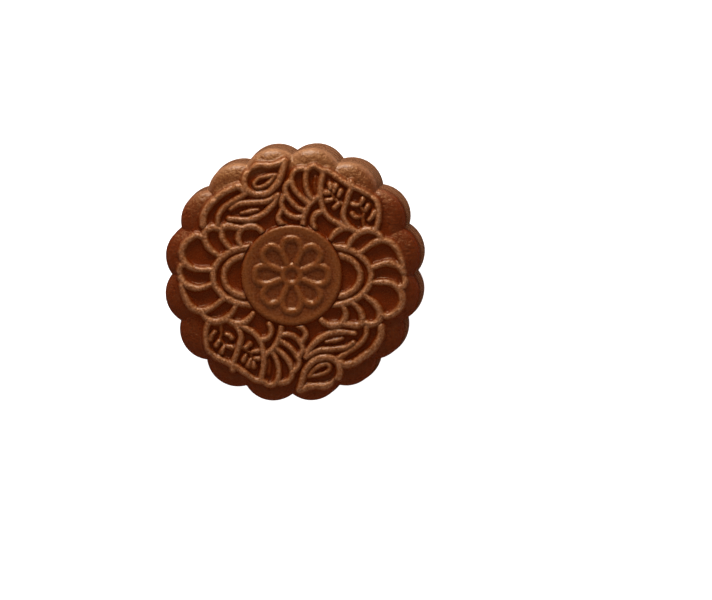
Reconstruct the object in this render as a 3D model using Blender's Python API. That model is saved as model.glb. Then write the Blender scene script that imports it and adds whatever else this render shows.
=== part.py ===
"""A round baked mooncake, 75 mm across: sixteen lobes round its side, and a moulded pattern on its top.

The cake stands on its flat base, with its axis on Z and its origin at the middle of the base.
Lengths below are in millimetres, and MM turns them into Blender's metres.
"""

import math

import bmesh
import bpy
import numpy as np
from mathutils import geometry

MM = 0.001

# The side: sixteen round lobes that meet in sharp notches
LOBES = 16
TIP_RADIUS = 37.5
NOTCH_RADIUS = 35.1
OVALNESS = 0.29  # the cake is longer by this much on each side along OVAL_ANGLE
OVAL_ANGLE = math.radians(33)

# Heights above the base
TOP = 31.2  # the plain top between the ridges, near the rim
SHOULDER = 28.4  # where the wall ends and the rounded edge begins
CROWN = 0.5  # how much higher the top is at its middle than at its rim

# Each level of the wall, from the shoulder down: height, and how far it stands in from the lobes' full size
WALL = ((SHOULDER, 0.7), (19.0, 0.4), (9.0, 0.0), (5.0, 0.1), (2.0, 0.7), (0.6, 1.6), (0.0, 2.8))
EDGE_WIDTH = 3.2  # how far in from the wall the rounded edge reaches

# The moulded pattern
RIDGE_HEIGHT = 1.35
RIDGE_HALF_WIDTH = 0.95  # at its foot
RIDGE_CREST = 0.55  # the crest's half-width, as a share of the foot's
MEDALLION_RADIUS = 14.5
MEDALLION_HEIGHT = 1.6
MEDALLION_EDGE = 1.0  # the width of its rounded edge
ROSETTE_HEIGHT = 0.5  # of the low ridges on the medallion
ROSETTE_HALF_WIDTH = 0.75
ROSETTE_PETALS = 8
ROSETTE_REACH = 10.6
ROSETTE_HEART = 2.6

# How fine the faces are
RIM_STEPS = LOBES * 8
STATION = 1.9  # along a ridge
SPRIG_STATION = 1.2
EDGE_RINGS = (0.5, 1.3, EDGE_WIDTH)  # how far in from the wall the rounded edge's rings lie
FOOT_CLEARANCE = 0.3  # a ridge's foot isn't drawn where another stands higher than this share of a ridge
MERGE_DISTANCE = 0.03


# ---------------------------------------------------------------- outline

def lobe_circle():
    """How far a lobe's centre lies from the axis, and its radius: it passes through its tip and both notches."""
    half = math.pi / LOBES
    across, along = NOTCH_RADIUS * math.sin(half), NOTCH_RADIUS * math.cos(half)
    centre = (TIP_RADIUS**2 - along**2 - across**2) / (2 * (TIP_RADIUS - along))
    return centre, TIP_RADIUS - centre


LOBE_CENTRE, LOBE_RADIUS = lobe_circle()


def oval(angle):
    return OVALNESS * np.cos(2 * (angle - OVAL_ANGLE))


def from_lobe_axis(angle):
    """The angle from the middle of the nearest lobe. The notches lie at 0 and every 22.5 degrees after."""
    pitch = 2 * math.pi / LOBES
    return np.mod(angle, pitch) - pitch / 2


def outline(angle):
    """The lobes' full radius at an angle."""
    off = from_lobe_axis(angle)
    reach = LOBE_CENTRE * np.cos(off) + np.sqrt(LOBE_RADIUS**2 - (LOBE_CENTRE * np.sin(off)) ** 2)
    return reach + oval(angle)


def depth_in_lobe(x, y):
    """How far inside the nearest lobe's full circle a point lies."""
    angle, radius = np.arctan2(y, x), np.hypot(x, y)
    radius = radius - oval(angle)
    off = from_lobe_axis(angle)
    return LOBE_RADIUS - np.hypot(radius * np.cos(off) - LOBE_CENTRE, radius * np.sin(off))


# ---------------------------------------------------------------- pattern

def spline(points, spacing=STATION):
    """Points about `spacing` apart on the smooth curve that passes through the given ones."""
    p = np.array(points, float)
    p = np.vstack([2 * p[0] - p[1], p, 2 * p[-1] - p[-2]])
    run = []
    for before, start, end, after in zip(p, p[1:], p[2:], p[3:]):
        t = np.linspace(0, 1, 16, endpoint=False)[:, None]
        run.append(
            0.5 * (2 * start + (end - before) * t + (2 * before - 5 * start + 4 * end - after) * t**2
                   + (3 * start - before - 3 * end + after) * t**3)
        )
    return resample(np.vstack([*run, p[-2:-1]]), spacing)


def resample(points, spacing):
    """The same curve with points an even distance apart, about `spacing`."""
    lengths = np.append(0, np.cumsum(np.hypot(*np.diff(points, axis=0).T)))
    places = np.linspace(0, lengths[-1], max(2, round(lengths[-1] / spacing) + 1))
    return np.stack([np.interp(places, lengths, points[:, k]) for k in (0, 1)], axis=1)


def arc(centre, radii, first, last, spacing=STATION):
    """Part of an ellipse whose axes lie along X and Y, between two angles in degrees."""
    angle = np.radians(np.linspace(first, last, 90))
    return resample(np.array(centre) + np.array(radii) * np.stack([np.cos(angle), np.sin(angle)], axis=1), spacing)


def toward(angle, length):
    """The point at an angle in degrees and a distance from the axis."""
    return length * np.array([math.cos(math.radians(angle)), math.sin(math.radians(angle))])


def side_flower():
    """A flower half hidden by the medallion: two rings and eight petals that overlap like tiles."""
    yield arc((-11.3, -0.1), (11.3, 8.3), 96, 264), 1.0
    yield arc((-12.6, -0.1), (6.9, 5.8), 106, 254), 1.0
    petal_edges = (
        ((-8.4, 12.5), (-9.6, 13.6), (-11.6, 14.1), (-14.0, 13.6), (-15.2, 11.8), (-15.2, 10.0), (-14.4, 8.3)),
        ((-14.0, 13.7), (-16.0, 13.8), (-18.8, 14.1), (-20.1, 13.0), (-19.9, 11.0), (-19.0, 9.2), (-17.4, 7.6)),
        ((-21.3, 13.3), (-22.6, 13.8), (-24.7, 12.7), (-25.0, 10.2), (-23.6, 7.8), (-20.6, 5.4)),
        ((-25.7, 11.0), (-27.4, 11.4), (-30.1, 9.8), (-31.5, 6.8), (-30.6, 3.7), (-27.9, 1.9), (-22.9, 1.7)),
        ((-30.8, 3.0), (-31.8, 2.7), (-32.2, 0.6), (-30.9, -2.2), (-27.5, -3.7), (-24.6, -3.1), (-22.6, -2.2)),
        ((-31.6, -2.8), (-30.8, -5.8), (-29.0, -8.8), (-26.3, -10.2), (-23.2, -9.4), (-19.5, -6.6)),
        ((-25.6, -10.8), (-24.4, -12.3), (-21.8, -13.2), (-19.0, -12.3), (-17.0, -10.3), (-15.9, -8.1)),
        ((-18.2, -12.5), (-16.8, -13.6), (-14.4, -13.6), (-12.4, -12.4), (-11.1, -10.8)),
    )
    for edge in petal_edges:
        yield spline(edge), 0.95


def leaves():
    """Two pointed leaves, one above the other, on a stem that curves down to the flower."""
    yield spline(((-1.9, 33.0), (-5.6, 31.5), (-9.8, 31.5), (-12.7, 29.7), (-13.7, 27.0), (-12.6, 24.2),
                  (-9.6, 23.2), (-6.3, 24.1), (-3.8, 27.0), (-2.7, 30.4), (-1.9, 33.0))), 1.0
    yield spline(((-4.8, 28.7), (-7.3, 28.4), (-9.7, 27.6), (-10.9, 26.2), (-9.9, 25.1), (-8.0, 25.6),
                  (-6.2, 26.9), (-4.8, 28.7)), 1.3), 0.65
    yield spline(((-18.1, 18.5), (-15.4, 20.4), (-11.5, 20.9), (-7.3, 21.3), (-4.0, 23.3))), 0.85
    yield spline(((-4.0, 23.1), (-5.2, 20.5), (-8.4, 17.5), (-12.6, 16.0), (-18.6, 16.3))), 0.9
    yield spline(((-15.0, 17.7), (-12.2, 18.4), (-9.2, 18.9))), 0.85
    yield spline(((-13.9, 24.6), (-15.6, 25.4), (-19.2, 23.8), (-23.0, 20.9), (-25.2, 17.2), (-25.4, 14.4))), 1.1
    yield spline(((-13.4, 23.3), (-16.6, 21.4), (-19.6, 19.2), (-21.1, 16.8), (-21.2, 14.6))), 0.85


def sprig(stem, twigs):
    """A stem, and the small leaves along it, each one from where it leaves the stem to its tip."""
    yield spline(stem, SPRIG_STATION), 0.6
    for foot, tip in twigs:
        yield spline((foot, tip), SPRIG_STATION), 0.6


def fan():
    """A flower seen from its side: five ribbed petals on a curved foot, then two panels that each hold a sprig."""
    yield spline(((3.0, 14.0), (3.5, 17.0), (5.0, 20.2), (7.6, 22.6))), 0.85
    petal_edges = (
        ((-1.7, 14.2), (-3.2, 15.0), (-3.9, 16.7), (-3.0, 18.7)),
        ((3.2, 16.8), (0.6, 16.8), (-1.8, 18.3), (-3.1, 20.9), (-2.0, 23.1)),
        ((3.6, 18.5), (1.4, 19.7), (-0.9, 22.1), (-2.0, 24.3), (-1.6, 26.0), (-0.3, 27.3)),
        ((4.9, 20.5), (2.4, 22.6), (0.6, 25.0), (-0.1, 27.9), (0.9, 30.0), (2.9, 30.6), (4.2, 30.2)),
        ((5.8, 21.6), (4.3, 24.5), (3.8, 27.7), (4.5, 30.3), (6.4, 31.3), (8.4, 30.1)),
    )
    for edge in petal_edges:
        yield spline(edge), 0.9
    yield spline(((6.7, 28.1), (6.4, 25.9), (6.8, 23.7))), 0.5
    panel_edges = (
        ((8.8, 29.1), (8.1, 25.5), (8.4, 20.7), (10.2, 17.0), (14.0, 14.6), (18.5, 12.7)),
        ((8.4, 30.1), (10.6, 29.8), (13.4, 27.8), (17.0, 25.4)),
        ((16.9, 26.8), (17.0, 25.4), (15.7, 21.6), (14.6, 17.3), (16.0, 14.3)),
        ((17.3, 25.4), (20.4, 24.0), (23.6, 22.0), (24.6, 19.3), (24.6, 15.7), (23.7, 12.7)),
        ((8.5, 18.4), (6.7, 17.5), (5.9, 15.5), (6.5, 13.8)),
    )
    for edge in panel_edges:
        yield spline(edge), 0.9
    yield from sprig(
        ((14.2, 20.0), (12.7, 22.4), (10.8, 25.4)),
        (((13.4, 21.9), (14.4, 24.2)), ((12.1, 23.5), (12.1, 25.0)), ((11.7, 23.5), (9.7, 23.4)),
         ((12.4, 21.6), (10.0, 21.1)), ((13.7, 20.4), (11.8, 18.9))),
    )
    yield from sprig(
        ((20.7, 14.0), (20.2, 17.2), (19.4, 19.8), (20.1, 21.3)),
        (((20.5, 17.4), (21.9, 19.7)), ((21.6, 15.0), (23.4, 18.1)), ((19.1, 19.9), (17.4, 20.0)),
         ((19.7, 16.4), (17.1, 17.4))),
    )


def ridges():
    """The pattern's ridges outside the medallion: each one's middle line and its width as a share of the widest.
    Half of them are drawn, and the other half are those given a half turn."""
    drawn = [*side_flower(), *leaves(), *fan()]
    return drawn + [(-line, width) for line, width in drawn]


def rosette():
    """The middle lines of the medallion's plain flower: a round heart, and petals that meet each other."""
    middle = np.zeros(2)
    yield arc(middle, (ROSETTE_HEART, ROSETTE_HEART), 0, 360, 1.5)
    pitch = 360 / ROSETTE_PETALS
    for k in range(ROSETTE_PETALS):
        way = k * pitch
        half = (toward(way - pitch / 2, 3.7), toward(way - 0.46 * pitch, 7.6), toward(way - 0.24 * pitch, 10.0))
        other = (toward(way + 0.24 * pitch, 10.0), toward(way + 0.46 * pitch, 7.6), toward(way + pitch / 2, 3.7))
        yield spline((*half, toward(way, ROSETTE_REACH), *other))


# ---------------------------------------------------------------- heights

def distance_to(line, x, y):
    """How far each point lies from a run of straight segments."""
    near = np.full(np.shape(x), np.inf)
    for (ax, ay), (bx, by) in zip(line, line[1:]):
        run = max((bx - ax) ** 2 + (by - ay) ** 2, 1e-9)
        t = np.clip(((x - ax) * (bx - ax) + (y - ay) * (by - ay)) / run, 0, 1)
        near = np.minimum(near, np.hypot(x - ax - t * (bx - ax), y - ay - t * (by - ay)))
    return near


def plain_top(x, y):
    """The top without its pattern: slightly crowned, with the rounded edge round each lobe."""
    middle = CROWN * np.clip(1 - np.hypot(x, y) / NOTCH_RADIUS, 0, 1)
    depth = np.clip(depth_in_lobe(x, y) - WALL[0][1], 0, EDGE_WIDTH)
    depth = np.where(np.hypot(x, y) < LOBE_CENTRE, EDGE_WIDTH, depth)
    fall = 1 - np.sqrt(np.clip(1 - (1 - depth / EDGE_WIDTH) ** 2, 0, 1))
    return TOP + middle - (TOP - SHOULDER) * fall


def slope(distance, foot, crest):
    """1 on a ridge's crest and 0 beyond its foot."""
    return np.clip((foot - distance) / (foot - crest), 0, 1)


def pattern_height(x, y, lines):
    """How high the pattern stands over the plain top at each point."""
    high = MEDALLION_HEIGHT * slope(np.hypot(x, y), MEDALLION_RADIUS, MEDALLION_RADIUS - MEDALLION_EDGE)
    for line, width in lines:
        foot = width * RIDGE_HALF_WIDTH
        high = np.maximum(high, RIDGE_HEIGHT * slope(distance_to(line, x, y), foot, RIDGE_CREST * foot))
    low = np.zeros(np.shape(x))
    for line in rosette():
        near = distance_to(line, x, y)
        low = np.maximum(low, slope(near, ROSETTE_HALF_WIDTH, RIDGE_CREST * ROSETTE_HALF_WIDTH))
    return high + ROSETTE_HEIGHT * low


# ---------------------------------------------------------------- mesh

def contour(line, half_width):
    """The closed line that runs round a middle line at a distance, with round ends."""
    along = np.gradient(line, axis=0)
    if np.allclose(line[0], line[-1]):
        along[0] = along[-1] = line[1] - line[-2]
    along /= np.maximum(np.hypot(*along.T), 1e-9)[:, None]
    aside = np.stack([-along[:, 1], along[:, 0]], axis=1)
    turns = np.radians((45, 0, -45))[:, None]
    far_end = line[-1] + half_width * (np.cos(turns) * along[-1] + np.sin(turns) * aside[-1])
    near_end = line[0] - half_width * (np.cos(turns) * along[0] + np.sin(turns) * aside[0])
    sides = line + half_width * aside, line[::-1] - half_width * aside[::-1]
    return np.vstack([sides[0], far_end, sides[1], near_end, sides[0][:1]])


def stretches(run, kept):
    """The parts of a run of points that are kept, each with one more point at its ends."""
    wider = kept.copy()
    wider[1:] |= kept[:-1]
    wider[:-1] |= kept[1:]
    part = []
    for point, keep in zip(run, wider):
        if keep:
            part.append(point)
        elif part:
            yield part
            part = []
    if part:
        yield part


def ridge_runs(lines):
    """Each ridge's crest and foot, seen from above, without the stretches that another ridge covers."""
    for line, width in lines:
        foot = width * RIDGE_HALF_WIDTH
        run = contour(line, foot)
        yield from stretches(run, pattern_height(*run.T, lines) < FOOT_CLEARANCE * RIDGE_HEIGHT)
        run = contour(line, RIDGE_CREST * foot)
        clear = np.hypot(*run.T) > MEDALLION_RADIUS - MEDALLION_EDGE
        for other, other_width in lines:
            crest = RIDGE_CREST * other_width * RIDGE_HALF_WIDTH
            clear &= distance_to(other, *run.T) > crest * (0.9 if other is line else 1)
        yield from stretches(run, clear)


def rosette_runs():
    for line in rosette():
        for half_width in (ROSETTE_HALF_WIDTH, RIDGE_CREST * ROSETTE_HALF_WIDTH):
            run = contour(line, half_width)
            yield from stretches(run, distance_to(line, *run.T) > 0.9 * half_width)


def ring(radius_at):
    """Points all round the cake, at the radius that the given function has at each angle."""
    angle = np.arange(RIM_STEPS) * 2 * math.pi / RIM_STEPS
    radius = radius_at(angle)
    return np.stack([radius * np.cos(angle), radius * np.sin(angle)], axis=1)


def top_layout(lines):
    """The points and edges that the top's triangles follow, seen from above. The wall's ring comes first."""
    rings = [ring(lambda angle: outline(angle) - WALL[0][1])]
    for radius in (MEDALLION_RADIUS, MEDALLION_RADIUS - MEDALLION_EDGE):
        rings.append(arc((0, 0), (radius, radius), 0, 360)[:-1])
    points, edges = [], []
    for run in rings:
        first = len(points)
        points.extend(run)
        edges += [(first + i, first + (i + 1) % len(run)) for i in range(len(run))]
    for run in (*ridge_runs(lines), *rosette_runs()):
        first = len(points)
        points.extend(run)
        edges += [(first + i, first + i + 1) for i in range(len(run) - 1)]
    for inset in EDGE_RINGS:
        run = ring(lambda angle: outline(angle) - WALL[0][1] - inset)
        points.extend(run[pattern_height(*run.T, lines) == 0])
    return [tuple(point) for point in points], edges


def build_cake():
    lines = ridges()
    points, edges = top_layout(lines)
    found = geometry.delaunay_2d_cdt(points, edges, [], 0, MERGE_DISTANCE, True)
    flat, came_from = np.array([tuple(p) for p in found[0]]), found[3]
    height = plain_top(*flat.T) + pattern_height(*flat.T, lines)
    middles = flat[np.array(found[2])].mean(axis=1)
    inside = np.hypot(*middles.T) < outline(np.arctan2(middles[:, 1], middles[:, 0])) - WALL[0][1]

    mesh = bmesh.new()
    upper = [None] * RIM_STEPS
    top = []
    for (x, y), z, origins in zip(flat, height, came_from):
        top.append(mesh.verts.new((x * MM, y * MM, z * MM)))
        for origin in origins:
            if origin < RIM_STEPS:
                upper[origin] = top[-1]
    for face, keep in zip(found[2], inside):
        if keep:
            mesh.faces.new([top[i] for i in face])
    for vert in upper:
        vert.co.z = SHOULDER * MM
    for z, inset in WALL[1:]:
        level = ring(lambda angle: outline(angle) - inset)
        lower = [mesh.verts.new((x * MM, y * MM, z * MM)) for x, y in level]
        for i in range(RIM_STEPS):
            j = (i + 1) % RIM_STEPS
            mesh.faces.new((upper[i], lower[i], lower[j], upper[j]))
        upper = lower
    mesh.faces.new(list(reversed(upper)))
    bmesh.ops.triangulate(mesh, faces=mesh.faces[:])
    bmesh.ops.recalc_face_normals(mesh, faces=mesh.faces[:])
    return mesh


def crust():
    material = bpy.data.materials.new("crust")
    material.use_nodes = True
    shader = material.node_tree.nodes["Principled BSDF"]
    shader.inputs["Base Color"].default_value = (0.20, 0.075, 0.03, 1)
    shader.inputs["Roughness"].default_value = 0.5
    shader.inputs["Metallic"].default_value = 0
    return material


def main():
    for obj in list(bpy.data.objects):
        bpy.data.objects.remove(obj)
    mesh = bpy.data.meshes.new("mooncake")
    cake = build_cake()
    cake.to_mesh(mesh)
    cake.free()
    mesh.materials.append(crust())
    mesh.shade_smooth()
    mesh.set_sharp_from_angle(angle=math.radians(35))
    bpy.context.scene.collection.objects.link(bpy.data.objects.new("mooncake", mesh))


main()
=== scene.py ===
"""The looks of the mooncake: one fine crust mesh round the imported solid, its material, and a plain studio.

Shapes are worked out in millimetres on the cake's own axes, and MM turns them into Blender's metres.
"""

import math

import bpy
import numpy as np
from mathutils import Matrix, Vector


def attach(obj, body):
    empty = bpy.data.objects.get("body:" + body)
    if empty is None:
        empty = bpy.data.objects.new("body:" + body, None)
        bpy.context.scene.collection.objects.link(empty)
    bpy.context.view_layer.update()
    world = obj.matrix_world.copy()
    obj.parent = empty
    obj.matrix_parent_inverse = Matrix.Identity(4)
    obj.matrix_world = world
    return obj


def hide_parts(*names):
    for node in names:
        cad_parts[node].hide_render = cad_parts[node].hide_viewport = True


MM = 0.001

# ---------------------------------------------------------------- sizes

# The side, as in the solid: sixteen lobes that meet in notches
LOBES = 16
TIP_RADIUS = 37.5
NOTCH_RADIUS = 35.1
OVALNESS = 0.29
OVAL_ANGLE = math.radians(33)
TOP = 31.2
SHOULDER = 28.4
CROWN = 0.5
RIM_INSET = 0.75  # how far the top's border lies inside the lobes' outline
WALL = (  # heights down the wall, and how far inside the outline it lies there
    (SHOULDER, RIM_INSET), (24.0, 0.62), (19.0, 0.45), (14.0, 0.25), (9.0, 0.12),
    (5.5, 0.22), (3.2, 0.6), (1.5, 1.2), (0.5, 2.0), (0.0, 2.95),
)
EDGE_WIDTH = 3.3  # of the rounded edge between the top and the wall
PUFF_WIDTH = 6.5  # the lobes' faces are puffed over this width
PUFF_HEIGHT = 0.55
PUFF_ZONE = (28.0, 33.0)  # distances from the axis between which the puff sets in

# The pattern on the top
RIDGE_HEIGHT = 1.42
RIDGE_HALF_WIDTH = 1.33
RIDGE_REACH = 1.2  # half-widths from its middle line, past which a ridge has no height
RIDGE_FADE = (0.2, 1.8)  # distances from the top's border between which ridges gain their height
WIDTH_WAVER = ((0.09, 2.2, 5), (0.05, 0.9, 7))  # each a share, the size of its features, and a seed
HEIGHT_WAVER = ((0.10, 6.0, 6), (0.06, 1.4, 8))
BLEND = 0.1  # how softly one ridge runs into another
JOINT = 0.08  # how softly the ridges, the floor and the medallion meet
SKIRT_WIDTH = 3.0  # in the side flowers the floor rises toward a ridge, from this far off
SKIRT_HEIGHT = 0.75
SINK = 0.2  # how far the floor between the ridges lies under the lobes' level
SINK_ZONE = (31.0, 28.5)  # distances from the axis between which it sinks
PATTERN_SHIFT = np.array((0.1, -0.2))  # the pattern is pressed a little off the middle
STATION = 0.5  # between the points of a pattern's line
SPLINE_STEPS = 16  # from one given point to the next, before they are spaced evenly
ARC_STEPS = 120

MEDALLION_RADIUS = 14.6
MEDALLION_HEIGHT = 1.5
MEDALLION_EDGE = 1.3  # the width of its rounded edge
MEDALLION_DISH = 1.1  # how much lower its middle is
MEDALLION_JOINT = (MEDALLION_RADIUS + 0.2, MEDALLION_RADIUS - 0.3)  # where it takes the pattern's place
UNDERCUT = 0.5  # how far under each other the pattern and the medallion run there
ROSETTE_HEIGHT = 0.62
ROSETTE_HALF_WIDTH = 1.1  # of its ridges
ROSETTE_HEART = 2.5  # the radius of the ring in its middle
ROSETTE_PETALS = 8
ROSETTE_PETAL = (  # shares of the pitch to either side of a petal's middle, and distances from the axis
    (-0.5, 3.7), (-0.46, 7.6), (-0.24, 10.0), (0, 10.4), (0.24, 10.0), (0.46, 7.6), (0.5, 3.7),
)

# The mesh: square rings that are drawn round, each with eight more points than the last
RINGS = 142
EDGE_RINGS = 20  # of them, on the rounded edge
ROW = 2 * RINGS + 1  # points in a row of the square grid
ROUND_TO_LOBED = (0.55, 1.0)  # shares of the flat rings between which they take the outline's shape
WALL_STEPS = 10  # down to the wall's foot
FOOT_STEPS = 4
FOOT_LEVELS = 3  # how many of the wall's levels lie under the start of its foot
BASE_BLUR = 14  # rounds that soften the top without its pattern
BASE_BLUR_RINGS = 6  # rings from the border inward over which that sets in
SWELL_BLUR = 26  # rounds that make the surroundings a point is compared with

# Where the crust changes: distances from the axis, from the lobes' outline, and along Y, for painted light on
# the side toward the lamp and painted shade on the side away from it
LOBE_ZONE = (29.5, 32.0)  # from the pattern out to the bare lobes
DISC_ZONE = (MEDALLION_RADIUS, MEDALLION_RADIUS - 0.8)
RIM_ZONE = (2.375, 0.475)  # from the top's face to its smooth rounded edge
PAINTED_SHADE_ZONE = (33.0, 16.0)  # from the side toward the lamp, painted paler with light, to the side away from it, painted darker with shade
PAINTED_SHADE_SLANT = 0.08
WALL_PAINTED_SHADE = 0.5  # the wall's painted shade where Y is zero
WALL_PAINTED_SHADE_SLOPE = 0.009  # less painted shade and more painted light for each millimetre along Y, toward the lamp
WALL_PAINTED_SHADE_START = (SHOULDER, SHOULDER - 9)  # heights between which the wall takes its own, gentler painted shade

# The crust's roughness. Each noise is the size of its largest features, its seed and its number of layers.
LUMPY = (9.0, 41, 2)
LUMPY_HEIGHT = 0.05
ROUGH = (1.5, 21, 3)
ROUGH_HEIGHT = 0.05
ROUGH_ON_LOBES = 0.02  # its height there
FINE = (0.9, 31, 2)
FINE_HEIGHT = 0.045
FINE_ON_RIDGES = 0.08
FINE_ON_DISC = 0.6  # as a share of its height
FULL_RIDGE = 0.9  # from this height up, a ridge is as rough as any
PITS = (0.95, 51, 2)
PIT_DEPTH = 0.13
PIT_LEVELS = (0.45, 0.85)  # values of the noise between which a pit reaches its depth
BARE_RELIEF = 0.5  # on a ridge of this height there are no pits
WALL_ROUGHNESS = 0.8  # as a share of the top's
STILL_FOOT = 1.5  # the height over which roughness sets in, from the floor up
NOISE_TABLE = 32  # random values along each side of the cube that a noise repeats
NOISE_ORIGIN = 1000  # where the cake's middle lies in it, in steps from one value to the next


# ---------------------------------------------------------------- outline

def lobe_circle():
    """How far a lobe's centre lies from the axis, and its radius."""
    half = math.pi / LOBES
    across, along = NOTCH_RADIUS * math.sin(half), NOTCH_RADIUS * math.cos(half)
    centre = (TIP_RADIUS**2 - along**2 - across**2) / (2 * (TIP_RADIUS - along))
    return centre, TIP_RADIUS - centre


LOBE_CENTRE, LOBE_RADIUS = lobe_circle()


def smoothstep(value):
    """An eased rise from 0 to 1 as the value goes from 0 to 1, and level on either side."""
    t = np.clip(value, 0, 1)
    return t * t * (3 - 2 * t)


def between(value, zone):
    """How far a value has come from the zone's first number to its second, eased at both ends."""
    first, last = zone
    return smoothstep((value - first) / (last - first))


def oval(angle):
    """How far the outline's slight ovalness moves it out at an angle."""
    return OVALNESS * np.cos(2 * (angle - OVAL_ANGLE))


def from_lobe_axis(angle):
    """How far an angle lies from the middle of its lobe."""
    pitch = 2 * math.pi / LOBES
    return np.mod(angle, pitch) - pitch / 2


def outline(angle):
    """The lobes' distance from the axis at an angle."""
    off = from_lobe_axis(angle)
    reach = LOBE_CENTRE * np.cos(off) + np.sqrt(LOBE_RADIUS**2 - (LOBE_CENTRE * np.sin(off)) ** 2)
    return reach + oval(angle)


def border(angle):
    """The distance from the axis at which the top ends and the wall begins."""
    return outline(angle) - RIM_INSET


def depth_in_lobe(x, y):
    """How far inside the nearest lobe's circle a point lies; over the cake's middle, the circle's radius."""
    angle, radius = np.arctan2(y, x), np.hypot(x, y)
    radius = radius - oval(angle)
    off = from_lobe_axis(angle)
    depth = LOBE_RADIUS - np.hypot(radius * np.cos(off) - LOBE_CENTRE, radius * np.sin(off))
    return np.where(radius < LOBE_CENTRE - 2, LOBE_RADIUS, depth)


# ---------------------------------------------------------------- pattern

def resample(points, spacing):
    """Evenly spaced points on the line through the given ones."""
    lengths = np.append(0, np.cumsum(np.hypot(*np.diff(points, axis=0).T)))
    places = np.linspace(0, lengths[-1], max(2, round(lengths[-1] / spacing) + 1))
    return np.stack([np.interp(places, lengths, points[:, k]) for k in (0, 1)], axis=1)


def spline(points):
    """Closely spaced points on the smooth curve that passes through the given ones."""
    p = np.array(points, float)
    p = np.vstack([2 * p[0] - p[1], p, 2 * p[-1] - p[-2]])
    run = []
    for before, start, end, after in zip(p, p[1:], p[2:], p[3:]):
        t = np.linspace(0, 1, SPLINE_STEPS, endpoint=False)[:, None]
        run.append(
            0.5 * (2 * start + (end - before) * t + (2 * before - 5 * start + 4 * end - after) * t**2
                   + (3 * start - before - 3 * end + after) * t**3)
        )
    return resample(np.vstack([*run, p[-2:-1]]), STATION)


def arc(centre, radii, first, last):
    """Points on an oval, from one angle to another in degrees."""
    angle = np.radians(np.linspace(first, last, ARC_STEPS))
    points = np.array(centre) + np.array(radii) * np.stack([np.cos(angle), np.sin(angle)], axis=1)
    return resample(points, STATION)


def toward(angle, length):
    """The point that far from the axis, at an angle in degrees."""
    return length * np.array([math.cos(math.radians(angle)), math.sin(math.radians(angle))])


# Each ridge is its middle line, then its width and its height as shares of a full ridge's.
# Where the width has several shares, they follow each other along the line.

def side_flower():
    """Two rings and eight petals that overlap like tiles, half hidden by the medallion."""
    yield arc((-11.3, -0.1), (11.3, 8.3), 90, 270), 1.0, 1.0
    yield arc((-12.6, -0.1), (6.9, 5.8), 96, 264), 1.0, 0.95
    petal_edges = (
        ((-8.4, 12.5), (-9.6, 13.6), (-11.6, 14.1), (-14.0, 13.6),
         (-15.2, 11.8), (-15.2, 10.0), (-14.4, 8.3)),
        ((-14.0, 13.7), (-16.0, 13.8), (-18.8, 14.1), (-20.1, 13.0),
         (-19.9, 11.0), (-19.0, 9.2), (-17.4, 7.6)),
        ((-21.3, 13.3), (-22.6, 13.8), (-24.7, 12.7), (-25.0, 10.2), (-23.6, 7.8), (-20.6, 5.4)),
        ((-25.7, 11.0), (-27.4, 11.4), (-30.1, 9.8), (-31.5, 6.8),
         (-30.6, 3.7), (-27.9, 1.9), (-22.9, 1.7)),
        ((-30.8, 3.0), (-31.8, 2.7), (-32.2, 0.6), (-30.9, -2.2),
         (-27.5, -3.7), (-24.6, -3.1), (-22.6, -2.2)),
        ((-31.6, -2.8), (-30.8, -5.8), (-29.0, -8.8), (-26.3, -10.2), (-23.2, -9.4), (-19.5, -6.6)),
        ((-25.6, -10.8), (-24.4, -12.3), (-21.8, -13.2), (-19.0, -12.3), (-17.0, -10.3), (-15.9, -8.1)),
        ((-18.2, -12.5), (-16.8, -13.6), (-14.4, -13.6), (-12.4, -12.4), (-11.1, -10.8)),
    )
    for edge in petal_edges:
        yield spline(edge), (0.9, 1.1, 1.05, 0.8), 1.0


def leaves():
    """Two pointed leaves, one above the other, on a stem that curves down to the flower."""
    large_edge = ((-1.9, 33.0), (-5.6, 31.5), (-9.8, 31.5), (-12.7, 29.7), (-13.7, 27.0), (-12.6, 24.2),
                  (-9.6, 23.2), (-6.3, 24.1), (-3.8, 27.0), (-2.7, 30.4), (-1.9, 33.0))
    large_eye = ((-4.8, 28.7), (-7.3, 28.4), (-9.7, 27.6), (-10.9, 26.2), (-9.9, 25.1), (-8.0, 25.6),
                 (-6.2, 26.9), (-4.8, 28.7))
    long_upper = ((-17.6, 18.9), (-15.2, 20.4), (-11.5, 20.9), (-7.3, 21.3), (-4.0, 23.3))
    long_lower = ((-4.0, 23.1), (-5.2, 20.5), (-8.4, 17.5), (-12.6, 16.0), (-18.0, 16.3))
    long_vein = ((-14.5, 17.8), (-12.2, 18.4), (-9.7, 18.8))
    stem = ((-13.9, 24.6), (-15.6, 25.4), (-19.2, 23.8), (-23.0, 20.9), (-25.2, 17.2), (-25.4, 14.4))
    side_stem = ((-13.4, 23.3), (-16.6, 21.4), (-19.6, 19.2), (-21.1, 16.8), (-21.2, 14.6))
    yield spline(large_edge), 1.0, 1.0
    yield spline(large_eye), 0.65, 0.85
    yield spline(long_upper), (0.65, 0.9, 0.9, 0.7), 0.95
    yield spline(long_lower), (0.8, 0.95, 0.95, 0.75), 1.0
    yield spline(long_vein), (0.5, 0.8, 0.5), 0.9
    yield spline(stem), 1.1, 1.0
    yield spline(side_stem), 0.85, 0.9


def sprig(stem, blades):
    """A stem, and the plump leaves along it, each one given from its foot to its tip.

    A leaf's middle line is cut short at both ends, because its width goes on past them.
    """
    yield spline(stem), (0.6, 0.42), 0.6
    for blade in blades:
        line = spline(blade)
        length = len(line)
        yield line[length // 4:length - length // 6], (0.66, 0.86), 0.95


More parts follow.
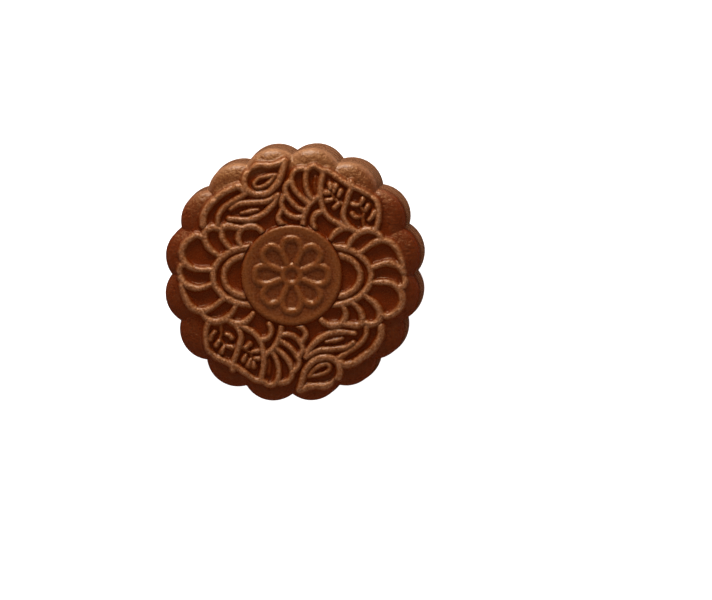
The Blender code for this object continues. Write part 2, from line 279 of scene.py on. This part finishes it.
def fan():
    """Five ribbed petals on a curved foot, then two panels that each hold a sprig."""
    yield spline(((3.0, 14.0), (3.5, 17.0), (5.0, 20.2), (7.6, 22.6))), 0.85, 1.0
    petal_edges = (
        ((-1.7, 14.2), (-3.2, 15.0), (-3.9, 16.7), (-3.0, 18.7)),
        ((3.2, 16.8), (0.6, 16.8), (-1.8, 18.3), (-3.1, 20.9), (-2.0, 23.1)),
        ((3.6, 18.5), (1.4, 19.7), (-0.9, 22.1), (-2.0, 24.3), (-1.6, 26.0), (-0.3, 27.3)),
        ((4.9, 20.5), (2.4, 22.6), (0.6, 25.0), (-0.1, 27.9), (0.9, 30.0), (2.9, 30.6), (4.2, 30.2)),
        ((5.8, 21.6), (4.3, 24.5), (3.8, 27.7), (4.5, 30.3), (6.4, 31.3), (8.4, 30.1)),
    )
    for edge in petal_edges:
        yield spline(edge), 0.85, 0.95
    yield spline(((6.7, 28.1), (6.4, 25.9), (6.8, 23.7))), 0.5, 0.4
    panel_edges = (
        ((8.8, 29.1), (8.1, 25.5), (8.4, 20.7), (10.2, 17.0), (14.0, 14.6), (18.5, 12.7)),
        ((8.4, 30.1), (10.6, 29.8), (13.4, 27.8), (17.0, 25.4)),
        ((16.9, 26.8), (17.0, 25.4), (15.7, 21.6), (14.6, 17.3), (16.0, 14.3)),
        ((17.3, 25.4), (20.4, 24.0), (23.6, 22.0), (24.6, 19.3), (24.6, 15.7), (23.7, 12.7)),
        ((8.5, 18.4), (6.7, 17.5), (5.9, 15.5), (6.5, 13.8)),
    )
    for edge in panel_edges:
        yield spline(edge), 0.9, 1.0
    yield from sprig(
        ((14.8, 20.3), (13.4, 21.1), (12.0, 22.1), (11.4, 23.5)),
        (((13.1, 22.4), (14.1, 24.6)), ((11.8, 23.7), (12.5, 25.7)), ((11.0, 24.4), (10.9, 26.0)),
         ((11.2, 23.7), (9.6, 23.7)), ((11.9, 21.9), (9.9, 21.5)), ((13.6, 20.8), (11.7, 19.2))),
    )
    yield from sprig(
        ((20.4, 14.2), (20.2, 16.5), (20.5, 18.1), (19.4, 20.0)),
        (((20.7, 18.3), (21.9, 20.4)), ((21.3, 15.4), (22.8, 16.9), (23.6, 18.6)),
         ((19.4, 20.2), (20.2, 21.9)), ((19.1, 20.1), (17.2, 20.5)),
         ((19.8, 16.8), (18.1, 16.9), (16.9, 18.1))),
    )


def rosette():
    """The medallion's plain flower: a round heart, and petals that meet each other."""
    yield arc((0, 0), (ROSETTE_HEART, ROSETTE_HEART), 0, 360)
    pitch = 360 / ROSETTE_PETALS
    for k in range(ROSETTE_PETALS):
        way = k * pitch
        yield spline([toward(way + share * pitch, length) for share, length in ROSETTE_PETAL])


# ---------------------------------------------------------------- heights

def lattice_noise(points, size, seed):
    """Smooth noise from -1 to 1 in space, whose features are about `size` millimetres across."""
    table = np.random.default_rng(seed).uniform(-1, 1, (NOISE_TABLE, NOISE_TABLE, NOISE_TABLE))
    places = points / size + NOISE_ORIGIN
    cell = np.floor(places).astype(int)
    t = smoothstep(places - cell)
    total = np.zeros(len(points))
    for corner in np.ndindex(2, 2, 2):
        share = np.prod(np.where(corner, t, 1 - t), axis=1)
        total += share * table[tuple(((cell + corner) % NOISE_TABLE).T)]
    return total


def noise(points, size, seed, layers):
    """Noise in layers, each about half the size and half the strength of the one before."""
    return sum(0.55**k * lattice_noise(points, size * 0.47**k, seed + k) for k in range(layers))


def wavering(points, layers):
    """1, give or take some noise."""
    return 1 + sum(share * lattice_noise(points, size, seed) for share, size, seed in layers)


def share_across(line, halves, x, y, reach):
    """Which points lie near a line, and how far from it each lies as a share of its half-width there.

    The half-width changes evenly along the line from each of `halves` to the next, and a share of
    `reach` or more isn't near.
    """
    span = reach * max(halves)
    low, high = line.min(axis=0) - span, line.max(axis=0) + span
    near = np.flatnonzero((x > low[0]) & (x < high[0]) & (y > low[1]) & (y < high[1]))
    px, py = x[near], y[near]
    best = np.full(len(near), np.inf)
    widths = np.interp(np.linspace(0, len(halves) - 1, len(line)), np.arange(len(halves)), halves)
    for (ax, ay), (bx, by), start, end in zip(line, line[1:], widths, widths[1:]):
        run = max((bx - ax) ** 2 + (by - ay) ** 2, 1e-9)
        t = np.clip(((px - ax) * (bx - ax) + (py - ay) * (by - ay)) / run, 0, 1)
        distance = np.hypot(px - ax - t * (bx - ax), py - ay - t * (by - ay))
        best = np.minimum(best, distance / (start + t * (end - start)))
    inside = best < reach
    return near[inside], best[inside]


def ridge_shape(share):
    """A ridge's height at a share of its half-width from its middle: round on top."""
    return (1 - np.clip(share, 0, 1) ** 2.3) ** 0.95


def ridges_at(x, y):
    """The height of the moulded ridges, without the medallion, and of the hollow floor between them.

    The pattern is drawn twice, the second time turned half a turn about the axis.
    """
    hollowed = list(side_flower())
    drawn = [*hollowed, *leaves(), *fan()]
    total = np.zeros(len(x))
    places = np.stack([x, y, 0 * x], axis=1)
    waver = wavering(places, WIDTH_WAVER)
    level = wavering(places, HEIGHT_WAVER)
    nearest = np.full(len(x), SKIRT_WIDTH)
    for turn in (1, -1):
        for k, (line, width, height) in enumerate(drawn):
            halves = RIDGE_HALF_WIDTH * np.atleast_1d(width)
            skirted = k < len(hollowed)
            reach = SKIRT_WIDTH / max(halves) if skirted else RIDGE_REACH
            near, share = share_across(turn * line + PATTERN_SHIFT, halves, x, y, reach)
            if skirted:
                nearest[near] = np.minimum(nearest[near], share * max(halves))
            high = RIDGE_HEIGHT * height * level[near] * ridge_shape(share / waver[near])
            total[near] += np.expm1(high / BLEND)
    inland = between(depth_in_lobe(x, y) - RIM_INSET, RIDGE_FADE)
    skirt = SKIRT_HEIGHT * (1 - nearest / SKIRT_WIDTH) ** 1.6 * inland
    return BLEND * np.log1p(total) * inland, skirt - SINK * between(np.hypot(x, y), SINK_ZONE)


def medallion_at(x, y):
    """The height of the medallion's disc, and of what is carved and raised on it."""
    radius = np.hypot(x, y)
    edge = np.clip((MEDALLION_RADIUS - radius) / MEDALLION_EDGE, 0, 1)
    disc = MEDALLION_HEIGHT * np.sqrt(1 - (1 - edge) ** 2)
    dish = MEDALLION_DISH * (np.clip(radius / MEDALLION_RADIUS, 0, 1) ** 2 - 1) * (edge > 0)
    low = np.zeros(len(x))
    for line in rosette():
        near, share = share_across(line, (ROSETTE_HALF_WIDTH, ROSETTE_HALF_WIDTH), x, y, 1)
        low[near] += np.expm1(ROSETTE_HEIGHT * ridge_shape(share) / BLEND)
    return disc, dish + BLEND * np.log1p(low)


def soft_max(a, b, softness):
    """The larger of two heights, with a soft crease where they cross."""
    return softness * np.logaddexp(a / softness, b / softness)


def base_at(x, y):
    """The top without its pattern: slightly crowned, with puffed lobes and a rounded edge."""
    angle, radius = np.arctan2(y, x), np.hypot(x, y)
    middle = CROWN * np.clip(1 - radius / NOTCH_RADIUS, 0, 1)
    reach = border(angle)
    depth_at_border = depth_in_lobe(reach * np.cos(angle), reach * np.sin(angle))
    depth = np.clip(depth_in_lobe(x, y) - depth_at_border, 0, None)
    edge = np.clip(1 - depth / EDGE_WIDTH, 0, 1)
    puff = np.clip(1 - depth / PUFF_WIDTH, 0, 1) ** 2 * between(radius, PUFF_ZONE)
    drop = TOP - SHOULDER - PUFF_HEIGHT
    fall = drop * (1 - np.sqrt(np.clip(1 - edge**2, 0, 1))) + PUFF_HEIGHT * puff
    return TOP + middle - fall


# ---------------------------------------------------------------- mesh

def top_places():
    """The angle and radius of each point of the square grid that is drawn round, row by row.

    Its flat rings go from round to lobed on the way out, and the outermost ones roll over the edge.
    """
    span = np.arange(-RINGS, RINGS + 1)
    a, b = np.meshgrid(span, span, indexing="ij")
    ring = np.maximum(abs(a), abs(b))
    safe = np.maximum(ring, 1)
    a_side, b_side = np.where(a < 0, -1, 1), np.where(b < 0, -1, 1)
    angle = np.where(
        abs(a) >= abs(b),
        np.where(a < 0, math.pi, 0) + math.pi / 4 * b / safe * a_side,
        math.pi / 2 * b_side - math.pi / 4 * a / safe * b_side,
    )
    full = border(angle)
    inner = RINGS - EDGE_RINGS
    share = np.clip(ring / inner, 0, 1)
    round_reach = (TIP_RADIUS + NOTCH_RADIUS) / 2 - RIM_INSET - EDGE_WIDTH
    bend = between(share, ROUND_TO_LOBED)
    flat = share * ((1 - bend) * round_reach + bend * (full - EDGE_WIDTH))
    climb = np.clip((ring - inner) / EDGE_RINGS, 0, 1)
    radius = np.where(ring <= inner, flat, full - EDGE_WIDTH * (1 - np.sin(climb * math.pi / 2)))
    return angle.ravel(), radius.ravel()


def wall_levels():
    """Heights and insets down the wall, closely spaced, and closer still at its foot."""
    z, inset = np.array(WALL).T
    run = np.append(0, np.cumsum(np.hypot(np.diff(z), np.diff(inset))))
    foot = run[-1 - FOOT_LEVELS]
    down = np.linspace(0, foot, WALL_STEPS + 1)[1:]
    under = np.linspace(foot, run[-1], FOOT_STEPS + 1)[1:]
    places = np.append(down, under)
    return np.interp(places, run, z), np.interp(places, run, inset)


def blurred(field, rounds):
    """A square grid's values, smoothed over their neighbours that many times."""
    for _ in range(rounds):
        padded = np.pad(field, 1, mode="edge")
        rows = (padded[:-2] + padded[1:-1] + padded[2:]) / 3
        field = (rows[:, :-2] + rows[:, 1:-1] + rows[:, 2:]) / 3
    return field


def rings_outside():
    """How many rings lie outside each point of the square grid."""
    step = abs(np.arange(-RINGS, RINGS + 1))
    return RINGS - np.maximum(step[:, None], step[None, :])


def top_heights(x, y):
    """The top's height at each of its points, the height of the ridges alone, and the swell.

    The swell is how far a point stands above its surroundings.
    """
    ridge, floor = ridges_at(x, y)
    disc, carving = medallion_at(x, y)
    on_disc = between(np.hypot(x, y), MEDALLION_JOINT)
    pattern = np.where(ridge > 0, soft_max(ridge, floor, JOINT), floor)
    pattern = pattern * (1 - on_disc) - UNDERCUT * on_disc
    relief = soft_max(pattern, disc - UNDERCUT * (1 - on_disc), JOINT) + carving
    base = base_at(x, y)
    softened = blurred(base.reshape(ROW, ROW), BASE_BLUR).ravel()
    base += smoothstep(rings_outside() / BASE_BLUR_RINGS).ravel() * (softened - base)
    height = base + relief
    surroundings = blurred(height.reshape(ROW, ROW), SWELL_BLUR).ravel()
    return height, ridge * (1 - on_disc), height - surroundings


def wall_ring(angle, z, inset):
    """One level's points round the wall."""
    reach = outline(angle) - inset
    return np.stack([reach * np.cos(angle), reach * np.sin(angle), np.full(len(angle), z)], axis=1)


def build_mesh():
    """The crust's points, its quads, the bottom's ring of points, and each point's ridge height and swell."""
    angle, radius = top_places()
    x, y = radius * np.cos(angle), radius * np.sin(angle)
    height, ridge, swell = top_heights(x, y)
    points = [np.stack([x, y, height], axis=1)]
    index = np.arange(ROW * ROW).reshape(ROW, ROW)
    corners = [index[:-1, :-1], index[1:, :-1], index[1:, 1:], index[:-1, 1:]]
    quads = [np.stack(corners, axis=-1).reshape(-1, 4)]

    last = ROW - 1
    upper = np.concatenate([index[last, :-1], index[:0:-1, last], index[0, :0:-1], index[:-1, 0]])
    rim_angle = angle[upper]
    first = ROW * ROW
    for z, inset in zip(*wall_levels()):
        points.append(wall_ring(rim_angle, z, inset))
        lower = first + np.arange(len(upper))
        quads.append(np.stack([upper, lower, np.roll(lower, -1), np.roll(upper, -1)], axis=1))
        upper, first = lower, first + len(lower)
    points = np.vstack(points)
    bottom = upper[::-1]  # so that it faces down
    wall = np.zeros(len(points) - ROW * ROW)
    return points, np.vstack(quads), bottom, np.append(ridge, wall), np.append(swell, wall)


def vertex_normals(points, quads):
    """Each point's outward direction, from the quads round it."""
    corners = points[quads]
    normal = np.cross(corners[:, 2] - corners[:, 0], corners[:, 3] - corners[:, 1])
    total = np.zeros_like(points)
    for k in range(4):
        np.add.at(total, quads[:, k], normal)
    return total / np.maximum(np.linalg.norm(total, axis=1), 1e-12)[:, None]


def crust_zones(points, on_top):
    """How much each point is of the bare lobes, the medallion and the rounded edge, and how much painted
    shade it takes: more away from the lamp, less toward it, where painted light makes it paler.
    """
    x, y, z = points.T
    radius = np.hypot(x, y)
    outer = between(radius, LOBE_ZONE) * on_top
    disc = between(radius, DISC_ZONE) * on_top
    rim = np.where(on_top, between(depth_in_lobe(x, y), RIM_ZONE), 1)
    # Painted shade away from the lamp and painted light toward it, more even down the wall
    painted_side_shade = between(y - PAINTED_SHADE_SLANT * x, PAINTED_SHADE_ZONE)
    down_wall = between(z, WALL_PAINTED_SHADE_START) * ~on_top
    painted_side_shade += down_wall * (WALL_PAINTED_SHADE - WALL_PAINTED_SHADE_SLOPE * y - painted_side_shade)
    return outer, disc, rim, painted_side_shade


def crust_push(points, on_top, relief, outer, disc, rim):
    """How far the baked crust's lumps, grain and pits move each point outward."""
    face = 1 - rim
    lobes = outer * smoothstep(1 - relief / BARE_RELIEF)
    on_ridge = smoothstep(relief / FULL_RIDGE) * (1 - disc)
    fine_height = FINE_HEIGHT + (FINE_ON_RIDGES - FINE_HEIGHT) * on_ridge
    fine_height *= 1 - (1 - FINE_ON_DISC) * disc
    rough_height = ROUGH_HEIGHT + (ROUGH_ON_LOBES - ROUGH_HEIGHT) * lobes
    push = LUMPY_HEIGHT * noise(points, *LUMPY)
    push += fine_height * face * noise(points, *FINE)
    push += rough_height * face * (1 - disc) * noise(points, *ROUGH)
    push -= PIT_DEPTH * lobes * face * between(noise(points, *PITS), PIT_LEVELS)
    return push * np.where(on_top, 1, WALL_ROUGHNESS) * smoothstep(points[:, 2] / STILL_FOOT)


def make_cake(material):
    """The whole crust as one closed mesh, with the zones that its material reads."""
    points, quads, bottom, relief, swell = build_mesh()
    on_top = np.arange(len(points)) < ROW * ROW
    outer, disc, rim, painted_side_shade = crust_zones(points, on_top)
    push = crust_push(points, on_top, relief, outer, disc, rim)
    points = points + push[:, None] * vertex_normals(points, quads)

    mesh = bpy.data.meshes.new("crust")
    mesh.from_pydata((points * MM).tolist(), [], quads.tolist() + [bottom.tolist()])
    mesh.validate()
    mesh.shade_smooth()
    layers = {
        "relief": np.clip(relief / RIDGE_HEIGHT, 0, 1.2),
        "swell": swell,
        "outer": outer,
        "disc": disc,
        "rim": rim,
        "painted_side_shade": painted_side_shade,
    }
    for name, values in layers.items():
        layer = mesh.attributes.new(name, "FLOAT", "POINT")
        layer.data.foreach_set("value", values.astype(np.float32))
    mesh.materials.append(material)
    cake = bpy.data.objects.new("crust", mesh)
    bpy.context.scene.collection.objects.link(cake)
    return cake


# ---------------------------------------------------------------- materials

class Nodes:
    """Short ways to write a node tree."""

    def __init__(self, name):
        self.material = bpy.data.materials.new(name)
        self.material.use_nodes = True
        self.tree = self.material.node_tree
        self.shader = self.tree.nodes["Principled BSDF"]

    def new(self, kind, **settings):
        node = self.tree.nodes.new(kind)
        for key, value in settings.items():
            setattr(node, key, value)
        return node

    def put(self, value, socket):
        if isinstance(value, bpy.types.NodeSocket):
            self.tree.links.new(value, socket)
        else:
            socket.default_value = value

    def attribute(self, name):
        return self.new("ShaderNodeAttribute", attribute_name=name).outputs["Fac"]

    def math(self, operation, a, b=0.0, clamp=False):
        node = self.new("ShaderNodeMath", operation=operation, use_clamp=clamp)
        self.put(a, node.inputs[0])
        self.put(b, node.inputs[1])
        return node.outputs[0]

    def ramp(self, value, low, high, start=0.0, end=1.0):
        node = self.new("ShaderNodeMapRange", interpolation_type="SMOOTHSTEP")
        self.put(value, node.inputs["Value"])
        for socket, number in (("From Min", low), ("From Max", high), ("To Min", start), ("To Max", end)):
            self.put(number, node.inputs[socket])
        return node.outputs["Result"]

    def mix(self, share, a, b):
        node = self.new("ShaderNodeMix", data_type="RGBA")
        self.put(share, node.inputs[0])
        self.put(a, node.inputs[6])
        self.put(b, node.inputs[7])
        return node.outputs[2]

    def noise(self, scale, detail=3.0, roughness=0.55):
        place = self.new("ShaderNodeTexCoord").outputs["Object"]
        node = self.new("ShaderNodeTexNoise")
        self.put(place, node.inputs["Vector"])
        self.put(scale, node.inputs["Scale"])
        self.put(detail, node.inputs["Detail"])
        self.put(roughness, node.inputs["Roughness"])
        return node.outputs["Fac"]


# Colours, as linear red, green and blue
# The grooves and flanks are darker from pooled glaze and from painted shade, the crests paler from dryness
# and from painted light
GROOVE = (0.112, 0.0125, 0.0001, 1)
FLANK = (0.120, 0.0200, 0.0010, 1)
CREST = (0.210, 0.0620, 0.0150, 1)
# The lobes' colour with painted light, for the side toward the lamp
LOBE_PAINTED_LIT = (0.150, 0.0430, 0.0105, 1)
# The rounded edge's colour with painted light and a painted sheen, for the side toward the lamp
RIM_PAINTED_LIT_SHEEN = (0.260, 0.1080, 0.0470, 1)
# The lobes' colour with painted shade, for the side away from the lamp; the crests and the rounded edge take
# it there too
LOBE_PAINTED_SHADED = (0.105, 0.0125, 0.0003, 1)
# The medallion's recesses, darker with painted shade
DISC_FLOOR = (0.108, 0.0160, 0.0004, 1)
DISC = (0.145, 0.0320, 0.0036, 1)
# Pale floury flecks, which also serve as painted highlights on the crests
DRY_FLECK_AND_HIGHLIGHT = (0.450, 0.2100, 0.1100, 1)
SCORCHED = (0.070, 0.0070, 0.0001, 1)
SHEEN_TINT = (1.0, 0.58, 0.24, 1)

# Textures, as the scale, detail and roughness of their noise, from coarse to fine
BLOTCH = (420, 4.0, 0.6)
MOTTLE = (1000, 2.0, 0.7)
FLECK = (1800, 2.0, 0.7)
GRAIN = (2900, 2.0, 0.7)
BUMP_HEIGHT = 0.18 * MM


def crust_material():
    """Baked crust: grooves darkened by pooled glaze and painted shade, crests paler from dryness and painted
    light, a painted sheen and painted light on the lamp's side, pale floury flecks that also serve as painted
    highlights, and scorched flecks.
    """
    n = Nodes("baked_crust")
    relief, swell, outer = n.attribute("relief"), n.attribute("swell"), n.attribute("outer")
    disc, rim, painted_side_shade = n.attribute("disc"), n.attribute("rim"), n.attribute("painted_side_shade")
    blotch, mottle, fleck, grain = (
        n.math("SUBTRACT", n.noise(*texture), 0.5) for texture in (BLOTCH, MOTTLE, FLECK, GRAIN)
    )

    # The bare crust, with painted light toward the lamp and painted shade away from it, and the grooves and
    # hollows, dark from pooled glaze and from painted shade
    patch = n.math("ADD", blotch, n.math("MULTIPLY", mottle, 1.2))
    # The lobes go from painted light toward the lamp to painted shade away from it, broken by random mottling
    side_shade_and_mottle = n.math("ADD", painted_side_shade, n.math("MULTIPLY", patch, -0.5), clamp=True)
    crust = n.mix(side_shade_and_mottle, LOBE_PAINTED_LIT, LOBE_PAINTED_SHADED)
    crust = n.mix(n.ramp(patch, -0.05, -0.35, 0.0, 0.5), crust, SCORCHED)
    # The pattern's floor takes the grooves' colour, and so do hollows on the lobes, such as the creases
    # between them, as painted shade
    under = n.mix(n.math("MULTIPLY", outer, n.ramp(swell, -0.9, -0.4)), GROOVE, crust)

    # The ridges, paler toward their crests from dryness and painted light, with painted shade down their
    # flanks; the medallion, with painted shade in its recesses; and the top's rounded edge, with a painted
    # sheen toward the lamp
    high = n.math("ADD", relief, n.math("MULTIPLY", mottle, 0.4))
    # The crests take a little painted shade on the side away from the lamp
    top = n.mix(n.math("MULTIPLY", painted_side_shade, 0.2), CREST, LOBE_PAINTED_SHADED)
    crest = n.mix(n.ramp(high, 0.35, 0.95), FLANK, top)
    # Painted shade in the grooves gives way to painted light on the crests as the ridges rise
    colour = n.mix(n.ramp(high, 0.15, 0.6), under, crest)
    # On the medallion, painted shade in its recesses
    colour = n.mix(disc, colour, n.mix(n.ramp(swell, -0.25, 0.2), DISC_FLOOR, DISC))
    # The rounded edge: a painted sheen and painted light toward the lamp, painted shade away from it
    colour = n.mix(rim, colour, n.mix(painted_side_shade, RIM_PAINTED_LIT_SHEEN, LOBE_PAINTED_SHADED))

    # Flecks: pale floury flecks on the crests and the medallion, which also serve as painted highlights, and
    # dark scorched flecks
    crest_or_disc = n.math("ADD", n.math("MULTIPLY", disc, 0.2), n.ramp(high, 0.6, 1.0))
    dry_and_highlight = n.math("MULTIPLY", crest_or_disc, n.ramp(fleck, -0.12, 0.22, 0.0, 0.5))
    colour = n.mix(dry_and_highlight, colour, DRY_FLECK_AND_HIGHLIGHT)
    scorched = n.math("MULTIPLY", n.ramp(fleck, 0.0, -0.2, 0.0, 0.35), n.ramp(rim, 0.0, 1.0, 1.0, 0.5))
    colour = n.mix(scorched, colour, SCORCHED)
    n.put(colour, n.shader.inputs["Base Color"])

    # Gloss: smoother in the grooves than on what stands out
    on_ridge = n.ramp(high, 0.1, 0.6)
    raised = n.math("MAXIMUM", n.math("MAXIMUM", on_ridge, n.math("MULTIPLY", outer, 0.8)), disc)
    rough = n.math("ADD", n.ramp(raised, 0.0, 1.0, 0.26, 0.33), n.math("MULTIPLY", fleck, 0.25))
    rough = n.math("ADD", rough, n.math("MULTIPLY", blotch, 0.25))
    n.put(rough, n.shader.inputs["Roughness"])
    n.put(0.5, n.shader.inputs["Specular IOR Level"])
    n.put(SHEEN_TINT, n.shader.inputs["Specular Tint"])
    n.put(0.2, n.shader.inputs["Coat Weight"])
    n.put(0.25, n.shader.inputs["Coat Roughness"])

    # The finest grain
    bump = n.new("ShaderNodeBump")
    strength = n.math("MULTIPLY", n.ramp(raised, 0.0, 1.0, 0.2, 1.0), n.ramp(disc, 0.0, 1.0, 1.0, 0.6))
    n.put(strength, bump.inputs["Strength"])
    n.put(BUMP_HEIGHT, bump.inputs["Distance"])
    bumps = n.math("ADD", n.math("MULTIPLY", mottle, 1.2), n.math("MULTIPLY", fleck, 1.6))
    n.put(n.math("ADD", bumps, n.math("MULTIPLY", grain, 0.4)), bump.inputs["Height"])
    n.put(bump.outputs["Normal"], n.shader.inputs["Normal"])
    return n.material


def floor_material():
    """A pale floor that glows a little, so that it stays nearly white round the cake's shadow."""
    n = Nodes("pale_floor")
    n.put((0.86, 0.86, 0.855, 1), n.shader.inputs["Base Color"])
    n.put(0.9, n.shader.inputs["Roughness"])
    n.put(0.0, n.shader.inputs["Specular IOR Level"])
    n.put((1, 1, 1, 1), n.shader.inputs["Emission Color"])
    n.put(0.85, n.shader.inputs["Emission Strength"])
    return n.material


# ---------------------------------------------------------------- studio

PICTURE_WIDTH = 205.0 * MM  # how much of the scene the picture's width takes in, at the cake
CAMERA_DISTANCE = 1.5
CAMERA_LEAN = (0.055, 0.068)  # how far the view leans toward +X and +Y, for each unit up
CAKE_OFFSET = (-17.45 * MM, 8.15 * MM)  # where the cake lies in the picture, from its middle
AIM_HEIGHT = 16 * MM
SENSOR_WIDTH = 36

FLOOR_HALF = 3.0
LAMP_PLACE = (-0.060, 0.423, 0.169)
LAMP_TARGET = (0, 0, 0.03)
LAMP_SIZE = 0.22
KEY_POWER = 2.7
KEY_COLOUR = (1.0, 0.99, 0.97)
WINDOW_POWER = 4.5
WINDOW_COLOUR = (1.0, 0.94, 0.86)
WORLD_STRENGTH = 0.62


def add_camera():
    """A camera that looks almost straight down, with +X to the picture's right and +Y up the picture."""
    lens = bpy.data.cameras.new("camera")
    lens.sensor_width = SENSOR_WIDTH
    lens.lens = SENSOR_WIDTH * CAMERA_DISTANCE / PICTURE_WIDTH
    lens.clip_start, lens.clip_end = 0.05, 20
    camera = bpy.data.objects.new("camera", lens)
    bpy.context.scene.collection.objects.link(camera)
    out = Vector((*CAMERA_LEAN, 1)).normalized()
    right = Vector((0, 1, 0)).cross(out).normalized()
    up = out.cross(right)
    target = Vector((0, 0, AIM_HEIGHT)) - right * CAKE_OFFSET[0] - up * CAKE_OFFSET[1]
    camera.location = target + out * CAMERA_DISTANCE
    camera.rotation_euler = Matrix((right, up, out)).transposed().to_euler()
    bpy.context.scene.camera = camera


def add_light(name, power, colour):
    """A square lamp at the one place where this studio has light from a side."""
    light = bpy.data.lights.new(name, "AREA")
    light.shape = "RECTANGLE"
    light.size, light.size_y = LAMP_SIZE, LAMP_SIZE
    light.energy = power
    light.color = colour
    lamp = bpy.data.objects.new(name, light)
    bpy.context.scene.collection.objects.link(lamp)
    lamp.location = LAMP_PLACE
    lamp.rotation_euler = (Vector(LAMP_TARGET) - lamp.location).to_track_quat("-Z", "Y").to_euler()
    lamp.visible_camera = False
    return lamp


def add_floor():
    mesh = bpy.data.meshes.new("floor")
    corners = [(-1, -1), (1, -1), (1, 1), (-1, 1)]
    mesh.from_pydata([(FLOOR_HALF * x, FLOOR_HALF * y, 0) for x, y in corners], [], [(0, 1, 2, 3)])
    mesh.materials.append(floor_material())
    floor = bpy.data.objects.new("floor", mesh)
    bpy.context.scene.collection.objects.link(floor)
    floor.visible_glossy = False


def add_studio():
    """The floor, one lamp split into its soft light and its highlights, and an even white sky."""
    add_floor()
    key = add_light("key", KEY_POWER, KEY_COLOUR)
    key.visible_glossy = False
    window = add_light("window", WINDOW_POWER, WINDOW_COLOUR)
    window.visible_diffuse = False

    world = bpy.data.worlds.new("studio")
    world.use_nodes = True
    background = world.node_tree.nodes["Background"]
    background.inputs["Color"].default_value = (1.0, 1.0, 1.0, 1)
    background.inputs["Strength"].default_value = WORLD_STRENGTH
    world.cycles_visibility.glossy = False
    bpy.context.scene.world = world
    bpy.context.scene.view_settings.view_transform = "Standard"


# ---------------------------------------------------------------- scene

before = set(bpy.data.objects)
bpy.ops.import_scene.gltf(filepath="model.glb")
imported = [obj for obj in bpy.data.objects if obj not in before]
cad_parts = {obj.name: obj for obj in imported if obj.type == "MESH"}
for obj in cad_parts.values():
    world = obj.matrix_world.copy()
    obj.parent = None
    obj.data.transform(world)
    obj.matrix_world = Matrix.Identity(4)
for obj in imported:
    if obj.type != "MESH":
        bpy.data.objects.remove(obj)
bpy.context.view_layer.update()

cake = make_cake(crust_material())
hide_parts("mooncake")
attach(cake, "root")
add_studio()
add_camera()
